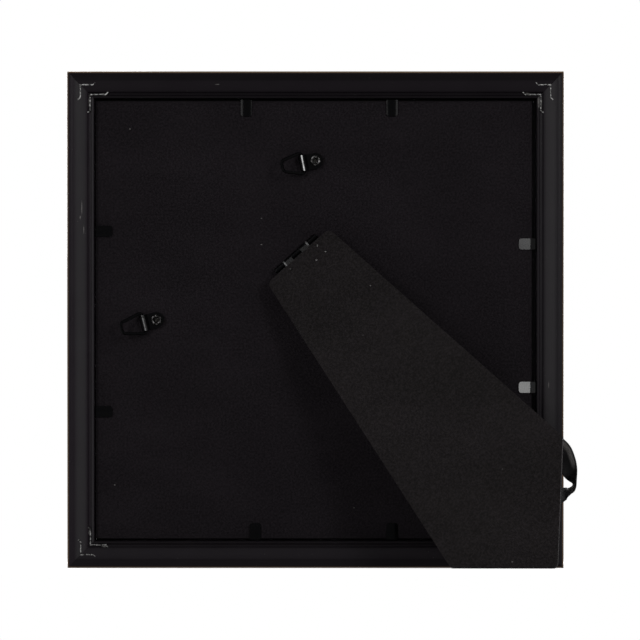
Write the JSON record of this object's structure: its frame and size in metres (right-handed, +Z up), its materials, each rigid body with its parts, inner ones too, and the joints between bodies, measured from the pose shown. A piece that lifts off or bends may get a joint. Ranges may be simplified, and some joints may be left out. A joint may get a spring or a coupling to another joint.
{
  "type": "tabletop picture frame",
  "caption": "Square tabletop picture frame with mitred moulding, glass, bendable tabs, velour backboard, D-ring hangers and a skew-hinged easel strut held by a ribbon.",
  "frame": {"origin": "on the table, below the middle of the standing frame's bounding box", "axes": "+Z up, +Y backwards from the picture towards the strut, +X to the right as seen from the front"},
  "size_m": [0.2372, 0.0766, 0.2331],
  "materials": {
    "rail_black": "satin black extruded polystyrene moulding",
    "bright_steel": "bare bright spring steel",
    "black_steel": "black lacquered sheet steel and wire",
    "clear_glass": "clear float glass",
    "insert_paper": "bare matt insert sheet",
    "hardboard": "pressed hardboard, stained nearly black",
    "black_velour": "flocked black velour covering",
    "liner_paper": "black matt lining paper",
    "ribbon_satin": "black woven satin ribbon"
  },
  "bodies": {
    "frame": {"top_rail": "rail_black", "right_rail": "rail_black", "bottom_rail": "rail_black", "left_rail": "rail_black", "v_nail_top_left_outer": "bright_steel", "v_nail_top_left_inner": "bright_steel", "v_nail_top_right_outer": "bright_steel", "v_nail_top_right_inner": "bright_steel", "v_nail_bottom_left_outer": "bright_steel", "v_nail_bottom_left_inner": "bright_steel", "v_nail_bottom_right_outer": "bright_steel", "v_nail_bottom_right_inner": "bright_steel", "tab_root_top_a": "black_steel", "tab_root_top_b": "black_steel", "tab_root_right_a": "black_steel", "tab_root_right_b": "black_steel", "tab_root_bottom_a": "black_steel", "tab_root_bottom_b": "black_steel", "tab_root_left_a": "black_steel", "tab_root_left_b": "black_steel", "glass_pane": "clear_glass", "picture_sheet": "insert_paper", "backboard": "hardboard", "backboard_velour": "black_velour", "hinge_board_leaf": "black_steel", "hinge_pin": "black_steel", "hinge_board_rivet_a": "black_steel", "hinge_board_rivet_b": "black_steel", "hanger_top_eyelet": "black_steel", "hanger_side_eyelet": "black_steel", "ribbon": "ribbon_satin", "ribbon_board_staple": "bright_steel"},
    "strut": {"strut_board": "hardboard", "strut_cover": "black_velour", "strut_liner": "liner_paper", "hinge_strut_leaf": "black_steel", "hinge_strut_rivet_a": "bright_steel", "hinge_strut_rivet_b": "bright_steel", "hinge_strut_rivet_c": "bright_steel", "hinge_strut_rivet_d": "bright_steel", "ribbon_strut_staple": "bright_steel"},
    "hanger_top_strap": {"hanger_top_strap": "black_steel"},
    "hanger_top_ring": {"hanger_top_ring": "black_steel"},
    "hanger_side_strap": {"hanger_side_strap": "black_steel"},
    "hanger_side_ring": {"hanger_side_ring": "black_steel"},
    "tab_top_a": {"tab_top_a": "black_steel"},
    "tab_top_b": {"tab_top_b": "black_steel"},
    "tab_right_a": {"tab_right_a": "black_steel"},
    "tab_right_b": {"tab_right_b": "black_steel"},
    "tab_bottom_a": {"tab_bottom_a": "black_steel"},
    "tab_bottom_b": {"tab_bottom_b": "black_steel"},
    "tab_left_a": {"tab_left_a": "black_steel"},
    "tab_left_b": {"tab_left_b": "black_steel"}
  },
  "joints": [
    {"name": "strut_hinge", "type": "hinge", "parent": "frame", "child": "strut", "pos_m": [0.01097, -0.00798, 0.14664], "axis": [0.7478, -0.0785, -0.6593], "range_deg": [-17.2, 26.3], "deforming": ["ribbon"]},
    {"name": "hanger_top_swivel", "type": "hinge", "parent": "frame", "child": "hanger_top_strap", "pos_m": [0.00189, -0.00458, 0.19032], "axis": [0, 0.993, -0.1183], "continuous": true},
    {"name": "hanger_top_swing", "type": "hinge", "parent": "hanger_top_strap", "child": "hanger_top_ring", "pos_m": [0.00778, -0.00278, 0.18895], "axis": [0.1908, 0.1161, 0.9747], "range_deg": [-36.3, 118]},
    {"name": "hanger_side_swivel", "type": "hinge", "parent": "frame", "child": "hanger_side_strap", "pos_m": [0.07664, -0.01343, 0.1161], "axis": [0, 0.993, -0.1183], "continuous": true},
    {"name": "hanger_side_swing", "type": "hinge", "parent": "hanger_side_strap", "child": "hanger_side_ring", "pos_m": [0.08246, -0.01166, 0.11442], "axis": [0.2419, 0.1148, 0.9635], "range_deg": [-30.6, 123.8]},
    {"name": "tab_top_a_bend", "type": "hinge", "parent": "frame", "child": "tab_top_a", "pos_m": [0.03446, -0.00064, 0.21875], "axis": [1, 0, 0], "range_deg": [0, 85]},
    {"name": "tab_top_b_bend", "type": "hinge", "parent": "frame", "child": "tab_top_b", "pos_m": [-0.03411, -0.00064, 0.21875], "axis": [1, 0, 0], "range_deg": [0, 85]},
    {"name": "tab_right_a_bend", "type": "hinge", "parent": "frame", "child": "tab_right_a", "pos_m": [0.10534, -0.00795, 0.15746], "axis": [0, -0.1183, -0.993], "range_deg": [0, 85]},
    {"name": "tab_right_b_bend", "type": "hinge", "parent": "frame", "child": "tab_right_b", "pos_m": [0.10534, -0.01799, 0.07315], "axis": [0, -0.1183, -0.993], "range_deg": [0, 85]},
    {"name": "tab_bottom_a_bend", "type": "hinge", "parent": "frame", "child": "tab_bottom_a", "pos_m": [0.03029, -0.02512, 0.01331], "axis": [-1, 0, 0], "range_deg": [0, 85]},
    {"name": "tab_bottom_b_bend", "type": "hinge", "parent": "frame", "child": "tab_bottom_b", "pos_m": [-0.03401, -0.02512, 0.01331], "axis": [-1, 0, 0], "range_deg": [0, 85]},
    {"name": "tab_left_a_bend", "type": "hinge", "parent": "frame", "child": "tab_left_a", "pos_m": [-0.10156, -0.00866, 0.15147], "axis": [0, 0.1183, 0.993], "range_deg": [0, 85]},
    {"name": "tab_left_b_bend", "type": "hinge", "parent": "frame", "child": "tab_left_b", "pos_m": [-0.10156, -0.01664, 0.08452], "axis": [0, 0.1183, 0.993], "range_deg": [0, 85]}
  ]
}
